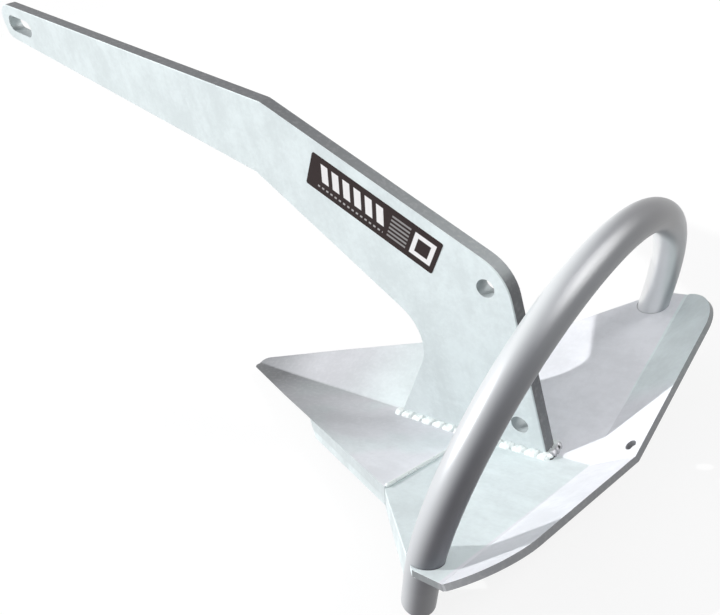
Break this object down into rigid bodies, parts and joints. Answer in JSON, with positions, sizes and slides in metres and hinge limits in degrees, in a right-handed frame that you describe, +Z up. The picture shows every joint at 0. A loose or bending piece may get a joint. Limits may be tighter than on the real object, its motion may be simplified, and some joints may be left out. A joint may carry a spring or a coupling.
{
  "type": "scoop anchor",
  "caption": "Galvanised scoop anchor: cranked plate shank with a shackle slot, folded V blade with sharp toe, turned-up rear flap and a bent tube roll bar.",
  "frame": {"origin": "middle of the bounding box's bottom face; the toe's keel line lies on z = 0", "axes": "+X forward towards the toe and the shank's nose, +Y to port, +Z up as the anchor stands"},
  "size_m": [0.7842, 0.4146, 0.4791],
  "materials": {
    "galvanised_plate": "hot-dip galvanised, pale grey, softly mottled",
    "galvanised_tube": "hot-dip galvanised, smooth satin",
    "weld_bead": "galvanised weld metal, bright and lumpy",
    "label_black": "satin black sticker with plain white marks"
  },
  "bodies": {
    "root": {"shank": "galvanised_plate", "label": "label_black", "toe_plate": "galvanised_plate", "rear_plate": "galvanised_plate", "roll_bar": "galvanised_tube", "shank_front_weld": "weld_bead", "shank_heel_weld": "weld_bead", "seam_under_weld": "weld_bead", "port_skid": "galvanised_plate", "port_shank_weld": "weld_bead", "port_seam_weld": "weld_bead", "port_roll_bar_weld": "weld_bead", "port_skid_weld": "weld_bead", "starboard_skid": "galvanised_plate", "starboard_shank_weld": "weld_bead", "starboard_seam_weld": "weld_bead", "starboard_roll_bar_weld": "weld_bead", "starboard_skid_weld": "weld_bead"}
  },
  "joints": []
}
